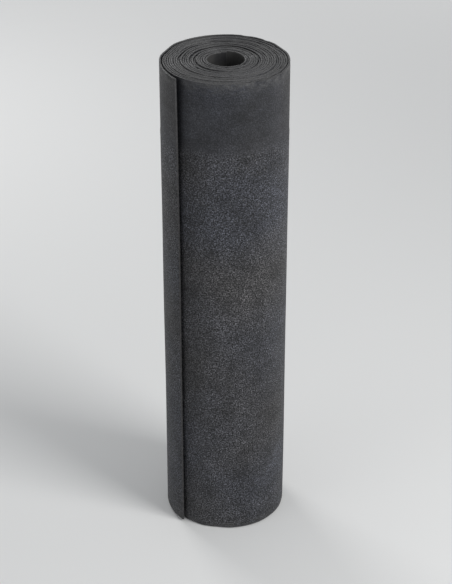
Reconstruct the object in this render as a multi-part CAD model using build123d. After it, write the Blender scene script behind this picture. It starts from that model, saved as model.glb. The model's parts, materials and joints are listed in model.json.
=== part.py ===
from build123d import *
import os
from math import atan2, cos, degrees, radians, sin

# One roll of torch-on roofing felt, standing on its end.
# The felt is a single sheet, wound up on a mandrel that has been drawn out, so the roll is one solid
# with a bore. Its outline follows the winding: the sheet's inner end is a step in the bore, each turn
# climbs over that step, and the outer end stands a little off the roll. Between the turns a seam
# shows on both ends, as one spiral from the bore to the loose outer end.
# Units are millimetres and degrees. The origin is on the bore's axis, on the floor, and +Z is up.

# The sheet as it is sold
sheet_width = 1000.0
sheet_length = 10000.0
sheet_thickness = 4.0

# How it is wound
bore_diameter = 70.0
winding_slack = 0.2
climb_angle = 60.0

# The V-shaped seam that shows between the turns on each end, and how far its cutter stands proud
seam_width = 1.2
seam_depth = 3.0
cutter_overshoot = 0.5

# The outer end of the sheet, which springs off the roll, and the direction in which its edge lies
tail_length = 110.0
tail_lift = 7.0
tail_direction = -134.0

bore_radius = bore_diameter / 2
pitch = sheet_thickness + winding_slack
full_turn = 360.0
shortest_arc = 1e-6
up = Vector(0, 0, 1)

# Each turn runs round the bore's axis, then climbs by one pitch on two tangent arcs. Their centres
# lie this far from the axis, on the radii at which the climb starts and ends.
climb_centre_offset = pitch / (2 * (1 - cos(radians(climb_angle / 2))))


def along(angle, distance=1.0):
    """The point at a distance from the axis, in the direction of an angle."""
    return Vector(distance * cos(radians(angle)), distance * sin(radians(angle)))


def turn_arcs(turn, offset):
    """The three arcs of one turn, as (centre, radius, first angle, last angle), of the line that
    lies an offset outside the sheet's inner face. Angles are counted on from turn to turn."""
    radius = bore_radius + offset + turn * pitch
    start = turn * full_turn
    climb_start = start + full_turn - climb_angle
    climb_middle = start + full_turn - climb_angle / 2
    climb_end = start + full_turn
    return [
        (Vector(0, 0), radius, start, climb_start),
        (along(climb_start, -climb_centre_offset), radius + climb_centre_offset, climb_start, climb_middle),
        (along(climb_end, climb_centre_offset), radius + pitch - climb_centre_offset, climb_middle, climb_end),
    ]


def wound_arcs(offset, first_angle, last_angle):
    """The arcs of a line that follows the winding between two angles."""
    arcs = []
    for turn in range(int(first_angle // full_turn), int(last_angle // full_turn) + 1):
        for centre, radius, start, end in turn_arcs(turn, offset):
            start = max(start, first_angle)
            end = min(end, last_angle)
            if end - start > shortest_arc:
                arcs.append((centre, radius, start, end))
    return arcs


def arc_end(arc):
    """The point where an arc ends."""
    centre, radius, start, end = arc
    return centre + along(end, radius)


def arc_start(arc):
    """The point where an arc starts."""
    centre, radius, start, end = arc
    return centre + along(start, radius)


def arc_edges(arcs):
    """The edges of a row of arcs."""
    return [CenterArc(centre, radius, start, end - start) for centre, radius, start, end in arcs]


def angle_at_length(length):
    """The winding angle at which the sheet's middle line has a given length."""
    turn = 0
    while True:
        for centre, radius, start, end in turn_arcs(turn, sheet_thickness / 2):
            this_arc = radius * radians(end - start)
            if length <= this_arc:
                return start + degrees(length / radius)
            length -= this_arc
        turn += 1


tail_start = angle_at_length(sheet_length - tail_length)
outer_radius = bore_radius + tail_start / full_turn * pitch


def tail_arc(offset):
    """The arc of the loose outer end, which leaves the roll on a larger radius."""
    centre, radius, start, end = wound_arcs(sheet_thickness / 2, 0, tail_start)[-1]
    tail_radius = 1 / (1 / radius - 2 * tail_lift / tail_length**2)
    tail_centre = centre + along(tail_start, radius - tail_radius)
    tail_end = tail_start + degrees(tail_length / tail_radius)
    return tail_centre, tail_radius + offset - sheet_thickness / 2, tail_start, tail_end


def outer_outline():
    """The roll's outside: the last full turn, and the loose end that stands off it."""
    last_turn = wound_arcs(sheet_thickness, tail_start - full_turn, tail_start)
    tail_outside = tail_arc(sheet_thickness)
    tail_inside = tail_arc(0)
    cut_edge = Line(arc_end(tail_outside), arc_end(tail_inside))
    root_gap = Line(arc_start(tail_inside), arc_start(last_turn[0]))
    edges = arc_edges(last_turn + [tail_outside, tail_inside]) + [cut_edge, root_gap]
    return make_face(Curve() + edges)


def bore_outline():
    """The bore: the first turn's inner face, and the step where the sheet begins."""
    first_turn = wound_arcs(0, 0, full_turn)
    inner_end = Line(arc_end(first_turn[-1]), arc_start(first_turn[0]))
    return make_face(Curve() + arc_edges(first_turn) + [inner_end])


def seam_cutters():
    """The cutters for the seam of an end that faces up at height 0, from the sheet's inner end to the
    middle of the loose outer end. Each is a V turned about the centre of one arc of the winding."""
    middle = sheet_thickness + winding_slack / 2
    last_angle = tail_start - full_turn + degrees(tail_length / 2 / outer_radius)
    half_width = seam_width / 2 * (1 + cutter_overshoot / seam_depth)
    cutters = []
    for centre, radius, start, end in wound_arcs(middle, 0, last_angle):
        inner_corner = (radius - half_width, cutter_overshoot)
        outer_corner = (radius + half_width, cutter_overshoot)
        bottom = (radius, -seam_depth)
        outward = along(start)
        section = Plane(origin=centre, x_dir=outward, z_dir=outward.cross(up))
        v_shape = make_face(section * Polyline(inner_corner, outer_corner, bottom, close=True))
        cutters.append(revolve(v_shape, Axis(centre, up), end - start))
    return cutters


def felt_roll():
    """The wound sheet, with the seam cut into both ends."""
    roll = extrude(outer_outline() - bore_outline(), sheet_width)
    cutters = seam_cutters()
    roll -= [Pos(0, 0, sheet_width) * cutter for cutter in cutters]
    roll -= [mirror(cutter, about=Plane.XY) for cutter in cutters]
    tail_edge = arc_end(tail_arc(sheet_thickness))
    return Rot(0, 0, tail_direction - degrees(atan2(tail_edge.Y, tail_edge.X))) * roll


roll = felt_roll()
print("turns", round(tail_start / full_turn, 2), "outer radius", round(outer_radius, 1))
print("volume in litres", round(roll.volume / 1e6, 2), "size", roll.bounding_box().size)

os.makedirs("parts", exist_ok=True)
export_step(roll, "parts/felt_roll.step")
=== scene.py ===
import json
from math import atan2, cos, hypot, radians, sin, tau

import bmesh
import bpy
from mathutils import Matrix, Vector, noise


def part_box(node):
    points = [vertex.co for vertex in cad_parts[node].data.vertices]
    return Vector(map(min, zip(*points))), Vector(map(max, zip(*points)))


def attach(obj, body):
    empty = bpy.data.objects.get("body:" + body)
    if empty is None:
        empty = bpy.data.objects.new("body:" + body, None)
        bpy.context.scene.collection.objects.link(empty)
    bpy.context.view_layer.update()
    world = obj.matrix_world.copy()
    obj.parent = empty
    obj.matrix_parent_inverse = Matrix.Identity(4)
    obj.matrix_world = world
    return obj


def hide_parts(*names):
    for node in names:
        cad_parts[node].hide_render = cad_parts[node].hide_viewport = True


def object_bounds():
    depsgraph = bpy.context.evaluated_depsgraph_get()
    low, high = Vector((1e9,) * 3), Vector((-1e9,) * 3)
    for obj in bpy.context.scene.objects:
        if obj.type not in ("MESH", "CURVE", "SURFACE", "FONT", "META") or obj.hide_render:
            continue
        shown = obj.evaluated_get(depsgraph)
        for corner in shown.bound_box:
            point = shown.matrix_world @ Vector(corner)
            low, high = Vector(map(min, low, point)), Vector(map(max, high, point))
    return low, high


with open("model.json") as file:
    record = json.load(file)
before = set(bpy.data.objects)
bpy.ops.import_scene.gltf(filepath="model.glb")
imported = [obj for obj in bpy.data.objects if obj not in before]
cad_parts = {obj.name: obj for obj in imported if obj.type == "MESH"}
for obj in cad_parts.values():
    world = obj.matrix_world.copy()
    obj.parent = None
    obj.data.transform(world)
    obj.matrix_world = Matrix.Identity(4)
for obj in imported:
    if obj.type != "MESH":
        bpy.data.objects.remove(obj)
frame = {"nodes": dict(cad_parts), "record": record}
cad_low, cad_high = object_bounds()

# The winding of the felt.
# One sheet of torch-on felt is wound on a mandrel that is then drawn out. Each turn climbs over the
# step that the sheet's inner end makes, and the outer end springs a little off the roll.
mm = 0.001
roll_low, roll_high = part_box("felt_roll")
roll_height = roll_high.z - roll_low.z
bore_mount = next(mount for mount in frame["record"]["mounts"] if mount["name"] == "bore")
bore_radius = bore_mount["dims"]["r_mm"] * mm
sheet_length = 10.0
sheet_thickness = 4.0 * mm
winding_slack = 0.2 * mm
climb_angle = radians(60)
pitch = sheet_thickness + winding_slack
tail_length = 110 * mm


def turn_length(turn):
    """The length of sheet in one whole turn."""
    middle_radius = bore_radius + sheet_thickness / 2 + turn * pitch
    return tau * middle_radius + climb_angle * pitch / 2


wound_length = sheet_length - tail_length
whole_turns = 0
while wound_length > turn_length(whole_turns):
    wound_length -= turn_length(whole_turns)
    whole_turns += 1
last_part = wound_length / (bore_radius + sheet_thickness / 2 + whole_turns * pitch)
root_angle = whole_turns * tau + last_part

# The mesh has the same columns in every turn, and one of them is where the loose end leaves the
# roll, so that two turns meet column by column. The last turn starts at the covered column.
columns_per_turn = 150
last_part_columns = round(columns_per_turn * last_part / tau)
tail_columns = 22
column_length = tail_length / tail_columns
root_column = whole_turns * columns_per_turn + last_part_columns
last_column = root_column + tail_columns
covered_column = root_column - columns_per_turn


def winding_angle(column):
    """The angle, counted on from turn to turn, of a column that lies in the roll."""
    turn, rest = divmod(column, columns_per_turn)
    if rest <= last_part_columns:
        part = last_part * rest / last_part_columns
    else:
        share = (rest - last_part_columns) / (columns_per_turn - last_part_columns)
        part = last_part + (tau - last_part) * share
    return turn * tau + part


def inner_radius(angle):
    """How far the sheet's inner face lies from the axis."""
    turn, part = divmod(angle, tau)
    climb = max((part - tau + climb_angle) / climb_angle, 0.0)
    climbed = 2 * climb**2 if climb < 0.5 else 1 - 2 * (1 - climb) ** 2
    return bore_radius + (turn + climbed) * pitch


# The sheet ran to and fro sideways as it was wound, so its turns don't end level. These are a slow
# drift, the jolts of the winder and the wobble of the slitting knife: how far each goes to a side,
# the angle in which it changes, and the number that picks its random run.
side_runs = (
    (2.2 * mm, radians(340), 1),
    (1.1 * mm, radians(95), 2),
    (0.16 * mm, radians(6), 3),
)
run_spacing = 7.3


def wander(place, wavelength, run):
    """A smooth random number, from about -0.7 to 0.7, that is the same each time."""
    return noise.noise(Vector((place / wavelength, run * run_spacing, 0)))


def side_shift(angle):
    """How far the sheet had run to one side at an angle."""
    return sum(reach * wander(angle, wavelength, run) for reach, wavelength, run in side_runs)


shifts = [side_shift(winding_angle(column)) for column in range(root_column + 1)]
lowest_shift = min(shifts)
sheet_width = roll_height - (max(shifts) - lowest_shift)

# The loose end lifts off more and more, by a varied amount down the roll, curls outwards at its top
# corner, and is cut a little askew.
tail_lift = 7 * mm
lift_spread = 0.35
lift_wavelength = 600 * mm
lift_run = 4
corner_curl = 3 * mm
cut_askew = 1.2 * mm
askew_wavelength = 250 * mm
askew_run = 5


def ease(share):
    """Goes from 0 to 1 with no sudden start or stop."""
    share = min(max(share, 0.0), 1.0)
    return share * share * (3 - 2 * share)


def angle_and_radius(column, out, height):
    """The winding angle of a point of the sheet, and its distance from the axis."""
    if column <= root_column:
        angle = winding_angle(column)
        return angle, inner_radius(angle) + out
    share = (column - root_column) / tail_columns
    lift = tail_lift * (1 + lift_spread * wander(height, lift_wavelength, lift_run))
    curl = corner_curl * share**3 * ease(height / sheet_width * 2 - 1)
    radius = inner_radius(root_angle) + lift * share**2 + curl
    slope = 2 * lift * share / tail_length
    middle_radius = inner_radius(root_angle) + sheet_thickness / 2 + lift * share**2 / 3
    length = (tail_length + cut_askew * wander(height, askew_wavelength, askew_run)) * share
    angle = root_angle + length / middle_radius
    return angle - slope * (out - sheet_thickness / 2) / radius, radius + out


# The roll is turned until its loose end lies where the loose end of the CAD's roll does.
cad_tip = max((vert.co for vert in frame["nodes"]["felt_roll"].data.vertices),
              key=lambda point: hypot(point.x, point.y))
tip_angle = angle_and_radius(last_column, sheet_thickness, sheet_width / 2)[0]
roll_direction = atan2(cad_tip.y, cad_tip.x) - tip_angle

# The sheet of felt, as a flat block.
# A fleece soaked and coated with bitumen, pressed between rollers and slit to width, which leaves
# its long edges rounded. Here X runs along it column by column, Y through it from its inner face
# to its outer one, and Z up.
edge_radius = 0.9 * mm
edge_segments = 3
cut_radius = 0.35 * mm
cut_segments = 2
seam_depth = 8 * mm
edge_levels = (1.8 * mm, 4.2 * mm, seam_depth)
width_parts = 14
close = 0.01 * mm

# The strip along the top edge that the next sheet laps on has no granules, so the field stands a
# little proud of it, with a soft ridge between them. The ridge's rows lie from -1 to 1 across it.
lap_strip = 140 * mm
strip_edge = sheet_width - lap_strip
strip_step = 0.35 * mm
ridge_height = 0.45 * mm
ridge_half_width = 9 * mm
ridge_rows = (-1, -0.6, -0.25, 0, 0.25, 0.6, 1)

felt = bmesh.new()
bmesh.ops.create_cube(felt, size=1)
bmesh.ops.translate(felt, vec=(0.5, 0.5, 0.5), verts=felt.verts)
block = Vector((last_column * column_length, sheet_thickness, sheet_width))
bmesh.ops.scale(felt, vec=block, verts=felt.verts)


def bevel(edges, radius, segments):
    """Rounds edges of the block."""
    bmesh.ops.bevel(felt, geom=edges, offset=radius, offset_type="OFFSET", segments=segments,
                    profile=0.5, affect="EDGES", material=-1)


def cut(place, normal):
    """Cuts the block all round by a plane."""
    everything = felt.verts[:] + felt.edges[:] + felt.faces[:]
    bmesh.ops.bisect_plane(felt, geom=everything, plane_co=place, plane_no=normal)


def along_sheet(edge):
    """Whether an edge runs along the sheet."""
    start, end = (vert.co for vert in edge.verts)
    return abs(start.y - end.y) + abs(start.z - end.z) < close


def lies_at(edge, axis, place):
    """Whether both ends of an edge have this place on an axis."""
    return all(abs(vert.co[axis] - place) < close for vert in edge.verts)


bevel([edge for edge in felt.edges if along_sheet(edge)], edge_radius, edge_segments)
bevel([edge for edge in felt.edges if lies_at(edge, 0, block.x)], cut_radius, cut_segments)
bore_edges = [edge for edge in felt.edges if lies_at(edge, 0, 0) and lies_at(edge, 1, 0)]
bevel(bore_edges, cut_radius, cut_segments)

part_width = (sheet_width - 2 * seam_depth) / width_parts
levels = [seam_depth + part * part_width for part in range(1, width_parts)]
levels += [strip_edge + row * ridge_half_width for row in ridge_rows]
levels += [*edge_levels, *(sheet_width - level for level in edge_levels)]
for level in levels:
    cut((0, 0, level), (0, 0, 1))
span_ends = (columns_per_turn, covered_column, root_column)
for column in span_ends:
    cut((column * column_length, 0, 0), (1, 0, 0))

# The faces that lie between two turns, deeper than the seam on the ends, are never seen and go. A
# face counts as flat on the inner or outer side by how nearly its normal runs along Y.
flat_on = 0.9


def is_hidden(face):
    """Whether a face of the block lies between two turns, deeper than the seam."""
    middle = face.calc_center_median()
    column = middle.x / column_length
    if not seam_depth < middle.z < sheet_width - seam_depth:
        return False
    if face.normal.y > flat_on:
        return column < covered_column
    return face.normal.y < -flat_on and columns_per_turn < column < root_column


def middle_column(edge):
    """The column of the middle of an edge."""
    return (edge.verts[0].co.x + edge.verts[1].co.x) / 2 / column_length


felt.normal_update()
bmesh.ops.delete(felt, geom=[face for face in felt.faces if is_hidden(face)], context="FACES")
for start, end in zip((0, *span_ends), (*span_ends, last_column)):
    span = [edge for edge in felt.edges if along_sheet(edge) and start < middle_column(edge) < end
            and edge.calc_length() > 2 * column_length]
    bmesh.ops.subdivide_edges(felt, edges=span, cuts=end - start - 1, use_grid_fill=True)

# The felt's finishes and its own map, set while it is flat.
# The map is in metres: along the sheet and across it, so that the grain and the streaks of each
# finish run with the sheet however it is wound. A face looks along the sheet, or across it, where
# that is most of its normal.
outer_finish, inner_finish, edge_finish = range(3)
most_of_normal = 0.7
lengths = [0.0]
for column in range(1, last_column + 1):
    if column <= root_column:
        angle = winding_angle(column)
        middle_radius = inner_radius(angle) + sheet_thickness / 2
        lengths.append(lengths[-1] + (angle - winding_angle(column - 1)) * middle_radius)
    else:
        lengths.append(lengths[-1] + column_length)


def column_of(point):
    """The column of a point of the block, a whole number but for the rounding of its two ends."""
    column = point.x / column_length
    return round(column) if 0.5 < column < last_column - 0.5 else column


def length_at(column):
    """How far along the sheet a column lies."""
    whole = min(int(column), last_column - 1)
    return lengths[whole] + (lengths[whole + 1] - lengths[whole]) * (column - whole)


sheet_map = felt.loops.layers.uv.new("sheet")
felt.normal_update()
for face in felt.faces:
    face.smooth = True
    normal = face.normal
    if normal.y > flat_on:
        face.material_index = outer_finish
    elif normal.y < -flat_on:
        face.material_index = inner_finish
    else:
        face.material_index = edge_finish
    for loop in face.loops:
        point = loop.vert.co
        along = length_at(column_of(point))
        if abs(normal.x) > most_of_normal:
            loop[sheet_map].uv = (point.y, point.z)
        elif abs(normal.z) > most_of_normal:
            loop[sheet_map].uv = (along, point.y)
        else:
            loop[sheet_map].uv = (along, point.z)

# The felt's second map, which lays its finish out as one picture.
# The roll's outside fills the left of the picture, with the ends of the turns at the top right and
# the bore, the underside of the loose end and the two cut ends of the sheet below them. A cut end
# takes in the rounding of its edges, and so every face that is turned to it by a share or more.
picture_margin = 0.006
outside_width = 0.715
lower_height = 0.455
bore_place = 0.735
bore_width = 0.155
underside_place = 0.90
underside_width = 0.07
cut_places = (0.978, 0.988)
cut_width = 0.006
ends_scale = 1.04
ends_centres = (Vector((0.866, 0.596)), Vector((0.866, 0.863)))
wall_share = 0.12
turned_to_end = 0.3


def share_of_turn(out, depth):
    """How far a point has come across a turn's end, up its inner wall, over its top and down its
    outer wall. The walls, which hardly show, are given less room than they take up."""
    inner = out < sheet_thickness / 2
    if depth > edge_radius + close:
        wall = wall_share * (1 - (depth - edge_radius) / (seam_depth - edge_radius))
        return wall if inner else 1 - wall
    over_top = (out - depth if inner else out + depth) + edge_radius
    return wall_share + (1 - 2 * wall_share) * over_top / (sheet_thickness + 2 * edge_radius)


def picture_place(face, point):
    """The place of a corner of a face on the second map."""
    column = column_of(point)
    face_column = face.calc_center_median().x / column_length
    upright = picture_margin + (1 - 2 * picture_margin) * point.z / sheet_width
    lower = picture_margin + lower_height * point.z / sheet_width
    if abs(face.normal.x) > turned_to_end:
        is_outer_end = face_column > root_column
        across = point.y / sheet_thickness
        share = 1 - across if is_outer_end else across
        return cut_places[is_outer_end] + cut_width * share, lower
    if face.material_index == outer_finish and face_column > covered_column:
        share = length_at(column) - lengths[covered_column]
        share /= lengths[-1] - lengths[covered_column]
        return picture_margin + outside_width * share, upright
    if face.material_index == inner_finish and face_column < columns_per_turn:
        share = 1 - length_at(column) / lengths[columns_per_turn]
        return bore_place + bore_width * share, lower
    if face.material_index == inner_finish and face_column > root_column:
        share = (lengths[-1] - length_at(column)) / tail_length
        return underside_place + underside_width * share, lower
    at_top = point.z > sheet_width / 2
    depth = min(point.z, sheet_width - point.z)
    angle, radius = angle_and_radius(column, pitch * share_of_turn(point.y, depth), point.z)
    direction = angle + roll_direction
    sideways = cos(direction) if at_top else -cos(direction)
    return ends_centres[at_top] + ends_scale * radius * Vector((sideways, sin(direction)))


picture_map = felt.loops.layers.uv.new("OFBake")
for face in felt.faces:
    for loop in face.loops:
        loop[picture_map].uv = picture_place(face, loop.vert.co)

# The felt, wound up.
# The turns touch only deeper than the seam, where this mesh joins one turn to the next. Nearer the
# ends the sheet is pinched a little thinner, leans to and fro and has small nicks, on the upper rim
# by other random runs than on the lower one.
edge_pinch = 0.3 * mm
pinch_depth = 3.5 * mm
edge_lean = 0.5 * mm
lean_depth = 2 * mm
lean_wavelength = radians(70)
lower_lean_run = 7
upper_lean_run = 6
nick_depth = 3 * mm
nick_wavelength = radians(8)
nick_threshold = 0.3
lower_nick_run = 9
upper_nick_run = 8

# The last turn has slackened into faint ripples, which run down the roll.
slack_ripple = 1.8 * mm
ripple_length = 170 * mm
ripple_height = 500 * mm
ripple_run = 5
lifting_columns = 6

# The roll has settled out of round, bulges here and there, and has taken a few knocks on its rims.
# Each knock has a direction, the height of its rim, a depth and a width, and is felt from half the
# roll's radius outwards.
oval_share = 0.0035
oval_direction = 0.6
bulge_share = 0.0045
bulges_around = 2.2
bulges_up = 5
knocks = (
    (radians(-62), roll_height, 3.4 * mm, 38 * mm),
    (radians(28), roll_height, 2.0 * mm, 30 * mm),
    (radians(158), roll_height, 2.8 * mm, 36 * mm),
    (radians(-98), 0, 2.4 * mm, 36 * mm),
    (radians(70), 0, 3.0 * mm, 45 * mm),
)


def ripple(column, out, height, near_edge):
    """How far a point of the last turn stands off the turn below it. Its inner face stays on that
    turn but for its edges and the loose end."""
    loosened = ease(2 * (column - covered_column) / columns_per_turn)
    if out < sheet_thickness / 2:
        loosened *= max(near_edge, ease((column - root_column) / lifting_columns))
    place = Vector((length_at(column) / ripple_length, height / ripple_height, ripple_run))
    return slack_ripple * loosened * (0.5 + noise.noise(place))


def settled(direction, radius, height):
    """The place of a point once the roll has settled and been knocked about."""
    around = Vector((cos(direction), sin(direction)))
    oval = oval_share * cos(2 * direction + oval_direction)
    place = Vector((bulges_around * around.x, bulges_around * around.y, bulges_up * height))
    moved = radius * (1 + oval + bulge_share * noise.noise(place))
    outer_share = ease(2 * radius / cad_high.x - 1)
    for knock_direction, rim, depth, width in knocks:
        apart = abs((direction - knock_direction + tau / 2) % tau - tau / 2) * radius / width
        below = abs(height - rim) / width
        moved -= depth * ease(1 - hypot(apart, below)) * outer_share
    return Vector((moved * around.x, moved * around.y, height))


joined = []
for vert in felt.verts:
    out, height = vert.co.y, vert.co.z
    column = column_of(vert.co)
    on_outside = out > sheet_thickness - close
    on_inside = out < close
    at_top = height > sheet_width / 2
    depth = sheet_width - height if at_top else height
    near_edge = 1 - ease((depth - lean_depth) / (seam_depth - lean_depth))
    pinch = edge_pinch * (1 - ease(depth / pinch_depth))
    pressed = out + pinch * (1 - 2 * out / sheet_thickness)
    if on_outside and column > covered_column:
        from_strip = (height - strip_edge) / ridge_half_width
        pressed += ridge_height * (1 - ease(abs(from_strip)))
        pressed -= strip_step * ease(from_strip / 2 + 0.5)
    angle, radius = angle_and_radius(column, pressed, height)
    if column > covered_column:
        radius += ripple(column, out, height, near_edge)
    lean_run = upper_lean_run if at_top else lower_lean_run
    radius += edge_lean * near_edge * wander(angle, lean_wavelength, lean_run)
    nick_run = upper_nick_run if at_top else lower_nick_run
    nicked = max(wander(angle, nick_wavelength, nick_run) - nick_threshold, 0)
    nick = nick_depth * nicked * near_edge
    shift = (shifts[min(round(column), root_column)] - lowest_shift) * near_edge
    if depth > seam_depth - close:
        if on_outside and column <= covered_column:
            radius = (radius + inner_radius(winding_angle(column + columns_per_turn))) / 2
            joined.append(vert)
        elif on_inside and columns_per_turn <= column <= root_column:
            outer_radius = inner_radius(winding_angle(column - columns_per_turn)) + sheet_thickness
            radius = (radius + outer_radius) / 2
            joined.append(vert)
    vert.co = settled(angle + roll_direction, radius, height + shift + (-nick if at_top else nick))

# Winding the block turned its faces inside out, so they are turned back once the turns are joined.
bmesh.ops.remove_doubles(felt, verts=joined, dist=close)
bmesh.ops.recalc_face_normals(felt, faces=felt.faces)

sharp_from = radians(40)
felt_mesh = bpy.data.meshes.new("roofing_felt")
felt.to_mesh(felt_mesh)
felt.free()
felt_mesh.set_sharp_from_angle(angle=sharp_from)
roofing_felt = bpy.data.objects.new("roofing_felt", felt_mesh)
bpy.context.scene.collection.objects.link(roofing_felt)
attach(roofing_felt, "root")
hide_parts("felt_roll")


# The finish of the outer face.
# Black bitumen strewn with fine granules: matte and grainy, with cloudy darker and lighter patches,
# faint streaks along the sheet, and a smoother strip along one edge where the next sheet laps on.
def add_node(tree, kind, inputs, **settings):
    """Adds a node. Each input, by its name or number, is linked to an output or set to a value."""
    made = tree.nodes.new("ShaderNode" + kind)
    for name, value in settings.items():
        setattr(made, name, value)
    for socket, value in inputs.items():
        if isinstance(value, bpy.types.NodeSocket):
            tree.links.new(value, made.inputs[socket])
        else:
            made.inputs[socket].default_value = value
    return made


cloud_range = (0.3, 0.7)


class Finish:
    """A finish of the felt. Its nodes read the sheet's own map, in metres."""

    def __init__(self, name):
        self.material = bpy.data.materials.new(name)
        self.material.use_nodes = True
        self.tree = self.material.node_tree
        self.shader = self.tree.nodes["Principled BSDF"]
        self.place = add_node(self.tree, "UVMap", {}, uv_map="sheet").outputs["UV"]
        self.across = add_node(self.tree, "SeparateXYZ", {"Vector": self.place}).outputs["Y"]

    def give(self, socket, output):
        """Links an output to the shader."""
        self.tree.links.new(output, self.shader.inputs[socket])

    def scaled(self, along, across):
        """The place, counted in steps of this size along the sheet and across it."""
        steps = {0: self.place, 1: (1 / along, 1 / across, 1)}
        return add_node(self.tree, "VectorMath", steps, operation="MULTIPLY").outputs["Vector"]

    def cloud(self, along, across, seed, detail=2.0, roughness=0.5):
        """Soft random patches of a size. Their values mostly lie in cloud_range."""
        inputs = {"Vector": self.scaled(along, across), "W": seed, "Scale": 1, "Detail": detail,
                  "Roughness": roughness}
        return add_node(self.tree, "TexNoise", inputs, noise_dimensions="4D").outputs["Fac"]

    def granules(self, size, raggedness=1.5, crown=0.2, hollow=0.6):
        """Close-packed ragged granules: two random numbers for each, and how high it stands. Each is
        flat on top out to its crown and slopes down from there to the hollow round it, both counted
        from its middle in granules."""
        place = self.scaled(size, size)
        inputs = {"Vector": place, "Scale": 1.3, "Detail": 1.5, "Roughness": 0.6}
        nudge = add_node(self.tree, "TexNoise", inputs, noise_dimensions="2D").outputs["Color"]
        inputs = {0: nudge, 1: (raggedness, raggedness, 0), 2: place}
        ragged = add_node(self.tree, "VectorMath", inputs, operation="MULTIPLY_ADD")
        inputs = {"Vector": ragged.outputs["Vector"], "Scale": 1, "Randomness": 1}
        cells = add_node(self.tree, "TexVoronoi", inputs, voronoi_dimensions="2D").outputs
        numbers = add_node(self.tree, "SeparateColor", {"Color": cells["Color"]}).outputs
        standing = self.ramp(cells["Distance"], crown, hollow, 1, 0)
        return numbers["Red"], numbers["Green"], standing

    def ramp(self, value, low, high, to_low=0.0, to_high=1.0):
        """A value between low and high, brought between two others and kept there."""
        inputs = {"Value": value, "From Min": low, "From Max": high, "To Min": to_low,
                  "To Max": to_high}
        return add_node(self.tree, "MapRange", inputs, clamp=True).outputs["Result"]

    def varied(self, value, spread):
        """A tone round 1 that varies with a cloud by this spread to either side."""
        return self.ramp(value, *cloud_range, 1 - spread, 1 + spread)

    def math(self, operation, *values):
        """Values added, subtracted, multiplied or compared in turn."""
        found = values[0]
        for value in values[1:]:
            step = add_node(self.tree, "Math", {0: found, 1: value}, operation=operation)
            found = step.outputs["Value"]
        return found

    def mix(self, share, first, second, way="MIX"):
        """Two colours mixed, by a share of the second."""
        inputs = {0: share, 6: first, 7: second}
        return add_node(self.tree, "Mix", inputs, data_type="RGBA", blend_type=way).outputs[2]

    def toned(self, colour, tone):
        """A colour made lighter or darker by a number."""
        inputs = {0: colour, "Scale": tone}
        return add_node(self.tree, "VectorMath", inputs, operation="SCALE").outputs["Vector"]

    def relief(self, height, depth):
        """Bumps of a depth, for a height from 0 to 1."""
        inputs = {"Height": height, "Strength": 1.0, "Distance": depth}
        self.give("Normal", add_node(self.tree, "Bump", inputs).outputs["Normal"])


field_black = (0.0475, 0.0480, 0.0515, 1)
strip_black = (0.031, 0.0316, 0.0342, 1)
pale_granule = (0.17, 0.168, 0.165, 1)
# The cooler tint is partly the felt's own colour and partly a painted bluish sheen of the sky.
cool_tint_and_sky_sheen = (0.95, 0.985, 1.10, 1)
warm_tint = (1.04, 1.0, 0.96, 1)
scuff_grey = (0.115, 0.113, 0.11, 1)
granule_size = 2.1 * mm
# Tones for the hollows between granules and for their crowns: painted shade in the hollows, painted
# light on the crowns.
hollow_shade_crown_light_tones = (0.5, 1.35)
granule_tones = (0.45, 1.75)
clump_range = (0.38, 0.62)
clump_tones = (0, 2)
mottle_spread = 0.48
patch_spread = 0.22
streak_spread = 0.08
band_spread = 0.12
tint_and_sheen_range = (0.38, 0.62)
pale_from = (0.965, 0.98)
palest = 0.8
field_roughness = (0.58, 0.7)
gloss_spread = 0.1
relief_depth = 0.5 * mm
clump_relief = 1.6
strip_grain = 0.42
strip_relief = 0.15
strip_waver = 4 * mm
scuffed_width = 22 * mm
scuff_range = (0.42, 0.62)
strongest_scuff = 0.7

sanded = Finish("sanded_bitumen")
granule_shade, granule_gloss, granule_top = sanded.granules(granule_size)
clumps = sanded.cloud(2.8 * mm, 2.8 * mm, seed=2, detail=1, roughness=0.6)
mottles = sanded.cloud(60 * mm, 60 * mm, seed=3, detail=3, roughness=0.85)
patches = sanded.cloud(190 * mm, 150 * mm, seed=4)
cross_bands = sanded.cloud(80 * mm, 900 * mm, seed=5)
streaks = sanded.cloud(420 * mm, 4 * mm, seed=6)
tint_and_sheen_patches = sanded.cloud(340 * mm, 260 * mm, seed=7)
scuffs = sanded.cloud(26 * mm, 9 * mm, seed=8, detail=4, roughness=0.7)

# How far a place is in the field of granules, from 0 in the lap strip to 1.
wavering = sanded.cloud(60 * mm, 60 * mm, seed=1, detail=3)
wavering = sanded.ramp(wavering, *cloud_range, -strip_waver, strip_waver)
strip_place = sanded.math("ADD", sanded.across, wavering)
field_end = strip_edge - ridge_half_width
strip_start = strip_edge + ridge_half_width
in_field = sanded.ramp(strip_place, field_end, strip_start, 1, 0)

# The tone of each granule, with painted shade in the hollows between granules and painted light on
# their crowns, weaker in the strip, and then of the larger patches.
granule_tone = sanded.math("MULTIPLY", sanded.ramp(granule_top, 0, 1, *hollow_shade_crown_light_tones),
                           sanded.ramp(granule_shade, 0, 1, *granule_tones),
                           sanded.ramp(clumps, *clump_range, *clump_tones))
grain = sanded.math("MULTIPLY", sanded.ramp(in_field, 0, 1, strip_grain, 1),
                    sanded.math("SUBTRACT", granule_tone, 1))
tone = sanded.math("MULTIPLY", sanded.math("ADD", grain, 1),
                   sanded.varied(mottles, mottle_spread), sanded.varied(patches, patch_spread),
                   sanded.varied(streaks, streak_spread), sanded.varied(cross_bands, band_spread))
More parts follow.
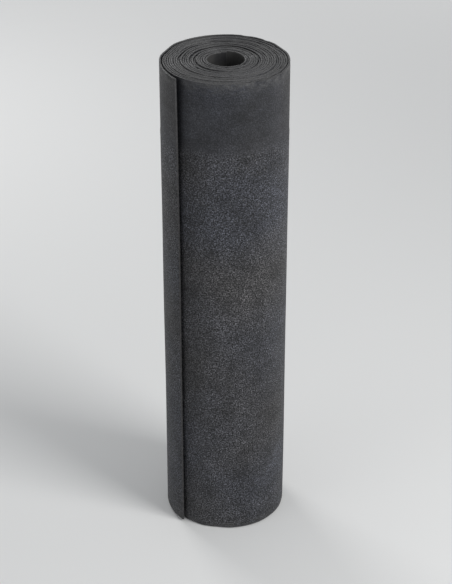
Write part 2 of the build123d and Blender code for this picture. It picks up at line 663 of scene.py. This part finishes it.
# Patches of cooler and warmer black: partly the felt's own tone varying at random, partly a painted
# bluish sky sheen in the cooler patches.
tint_and_sheen = sanded.mix(sanded.ramp(tint_and_sheen_patches, *tint_and_sheen_range), cool_tint_and_sky_sheen, warm_tint)
bitumen = sanded.mix(1, sanded.mix(in_field, strip_black, field_black), tint_and_sheen, "MULTIPLY")
pale = sanded.math("MULTIPLY", in_field, granule_top,
                   sanded.ramp(granule_gloss, *pale_from, 0, palest))
strewn = sanded.mix(pale, sanded.toned(bitumen, tone), pale_granule)

# Near both rims the face is scuffed grey by handling.
from_rim = sanded.math("MINIMUM", sanded.across, sanded.math("SUBTRACT", sheet_width, sanded.across))
scuffed = sanded.math("MULTIPLY", sanded.ramp(from_rim, 0, scuffed_width, strongest_scuff, 0),
                      sanded.ramp(scuffs, *scuff_range))
sanded.give("Base Color", sanded.mix(scuffed, strewn, scuff_grey))
gloss = sanded.ramp(granule_gloss, 0, 1, -gloss_spread, gloss_spread)
patchy_roughness = sanded.ramp(patches, *cloud_range, *field_roughness)
sanded.give("Roughness", sanded.math("ADD", patchy_roughness, gloss))
sanded.shader.inputs["Specular IOR Level"].default_value = 0.35
standing = sanded.math("MULTIPLY", granule_top, sanded.ramp(in_field, 0, 1, strip_relief, 1))
clumped = sanded.math("MULTIPLY", clumps, clump_relief)
sanded.relief(sanded.math("ADD", standing, clumped), relief_depth)

# The finish of the inner face.
# The underside carries a thin burn-off film that melts under the torch: smoother and a little
# shiny, with fine creases across the sheet. It shows in the bore and under the loose end.
film_black = (0.016, 0.016, 0.018, 1)
film_dust = (0.05, 0.049, 0.047, 1)
dust_range = (0.4, 0.75)
film_roughness = (0.32, 0.55)
crease_depth = 0.3 * mm

film = Finish("burn_off_film")
creases = film.cloud(5 * mm, 90 * mm, seed=1, detail=3)
dust = film.cloud(60 * mm, 60 * mm, seed=2, detail=4)
film.give("Base Color", film.mix(film.ramp(dust, *dust_range), film_black, film_dust))
film.give("Roughness", film.ramp(dust, *cloud_range, *film_roughness))
film.relief(creases, crease_depth)

# The finish of the edges.
# Slit and cut bitumen, with the lines and crumbs that the knife leaves, pressed by handling, and
# with the grey of dust and rubbing in places. Each turn has its own tone.
cut_black = (0.030, 0.030, 0.032)
turn_spread = 0.5
crumb_spread = 0.8
knife_spread = 0.25
rubbed_range = (0.45, 0.68)
edge_roughness = (0.42, 0.72)
edge_relief_depth = 0.45 * mm
crumb_relief = 1.5

edge = Finish("slit_edge")
turn_tones = edge.cloud(260 * mm, 1, seed=1, detail=1)
knife_lines = edge.cloud(16 * mm, 0.7 * mm, seed=2, detail=3, roughness=0.6)
crumbs = edge.cloud(3.2 * mm, 1.6 * mm, seed=3, detail=2, roughness=0.9)
rubbing = edge.cloud(70 * mm, 9 * mm, seed=4, detail=4, roughness=0.6)
tone = edge.math("MULTIPLY", edge.varied(turn_tones, turn_spread),
                 edge.varied(crumbs, crumb_spread), edge.varied(knife_lines, knife_spread))
rubbed = edge.math("MULTIPLY", edge.ramp(rubbing, *rubbed_range),
                   edge.ramp(crumbs, 0.4, 0.6, 0.25, 0.8))
edge.give("Base Color", edge.mix(rubbed, edge.toned(cut_black, tone), scuff_grey))
edge.give("Roughness", edge.ramp(rubbing, *cloud_range, *edge_roughness))
crumbled = edge.math("MULTIPLY", crumbs, crumb_relief)
edge.relief(edge.math("ADD", crumbled, knife_lines), edge_relief_depth)

for finish in (sanded, film, edge):
    felt_mesh.materials.append(finish.material)

# The floor and the room.
# A pale floor that runs out, a few metres away, into a plain room of about the same grey. The room
# lights the roll evenly, and shows its own grey only where it is seen or mirrored.
floor_grey = (0.80, 0.80, 0.79, 1)
room_grey = (0.69, 0.695, 0.70, 1)
room_light = (0.93, 0.96, 1.0, 1)
room_strength = 0.35
floor_reach = 12
fade_start = 1.0
fade_end = 4.5

floor_shape = bmesh.new()
bmesh.ops.create_grid(floor_shape, x_segments=1, y_segments=1, size=floor_reach)
floor_mesh = bpy.data.meshes.new("floor")
floor_shape.to_mesh(floor_mesh)
floor_shape.free()
floor = bpy.data.objects.new("floor", floor_mesh)
bpy.context.scene.collection.objects.link(floor)

floor_paint = bpy.data.materials.new("floor_paint")
floor_paint.use_nodes = True
floor_tree = floor_paint.node_tree
floor_shader = floor_tree.nodes["Principled BSDF"]
floor_shader.inputs["Base Color"].default_value = floor_grey
floor_shader.inputs["Roughness"].default_value = 0.9
floor_shader.inputs["Specular IOR Level"].default_value = 0.2
floor_place = add_node(floor_tree, "TexCoord", {}).outputs["Object"]
how_far = add_node(floor_tree, "VectorMath", {0: floor_place}, operation="LENGTH").outputs["Value"]
fade = {"Value": how_far, "From Min": fade_start, "From Max": fade_end}
faded = add_node(floor_tree, "MapRange", fade, interpolation_type="SMOOTHSTEP").outputs["Result"]
clear = add_node(floor_tree, "BsdfTransparent", {}).outputs["BSDF"]
surface = add_node(floor_tree, "MixShader", {0: faded, 1: floor_shader.outputs["BSDF"], 2: clear})
floor_output = floor_tree.nodes["Material Output"]
floor_tree.links.new(surface.outputs["Shader"], floor_output.inputs["Surface"])
floor_mesh.materials.append(floor_paint)

world = bpy.data.worlds.new("room")
bpy.context.scene.world = world
world.use_nodes = True
room_tree = world.node_tree
lighting = room_tree.nodes["Background"]
lighting.inputs["Color"].default_value = room_light
lighting.inputs["Strength"].default_value = room_strength
shown = add_node(room_tree, "Background", {"Color": room_grey}).outputs["Background"]
rays = add_node(room_tree, "LightPath", {}).outputs
is_shown = rays["Is Camera Ray"]
for ray in ("Is Glossy Ray", "Is Transmission Ray"):
    either = {0: is_shown, 1: rays[ray]}
    is_shown = add_node(room_tree, "Math", either, operation="MAXIMUM").outputs["Value"]
room = add_node(room_tree, "MixShader", {0: is_shown, 1: lighting.outputs["Background"], 2: shown})
room_tree.links.new(room.outputs["Shader"], room_tree.nodes["World Output"].inputs["Surface"])

# The lamps.
# Three large soft boxes, as round a product on a studio floor, with the strongest on the right.
roll_middle = Vector((0, 0, roll_height / 2))


def soft_box(name, place, width, height, power):
    """A large soft lamp that faces the roll."""
    lamp = bpy.data.lights.new(name, "AREA")
    lamp.shape = "RECTANGLE"
    lamp.size = width
    lamp.size_y = height
    lamp.energy = power
    box = bpy.data.objects.new(name, lamp)
    box.location = place
    box.rotation_euler = (roll_middle - Vector(place)).to_track_quat("-Z", "Y").to_euler()
    bpy.context.scene.collection.objects.link(box)


soft_box("key_box", (2.3, -1.5, 2.4), width=1.5, height=2.2, power=80)
soft_box("fill_box", (-2.6, -1.8, 1.6), width=1.6, height=2.0, power=8)
soft_box("back_box", (-1.5, 2.4, 1.9), width=1.2, height=2.0, power=32)

# The camera.
# A long lens a few metres off, which looks down on the roll about as steeply as the photograph
# looks down on the felt.
camera_drop = radians(30)
camera_distance = 3.5
camera_lens = 108

camera_data = bpy.data.cameras.new("camera")
camera_data.lens = camera_lens
camera = bpy.data.objects.new("camera", camera_data)
bpy.context.scene.collection.objects.link(camera)
to_camera = Vector((0, -cos(camera_drop), sin(camera_drop)))
camera.location = roll_middle + to_camera * camera_distance
camera.rotation_euler = (-to_camera).to_track_quat("-Z", "Y").to_euler()
bpy.context.scene.camera = camera
bpy.context.scene.view_settings.view_transform = "Standard"
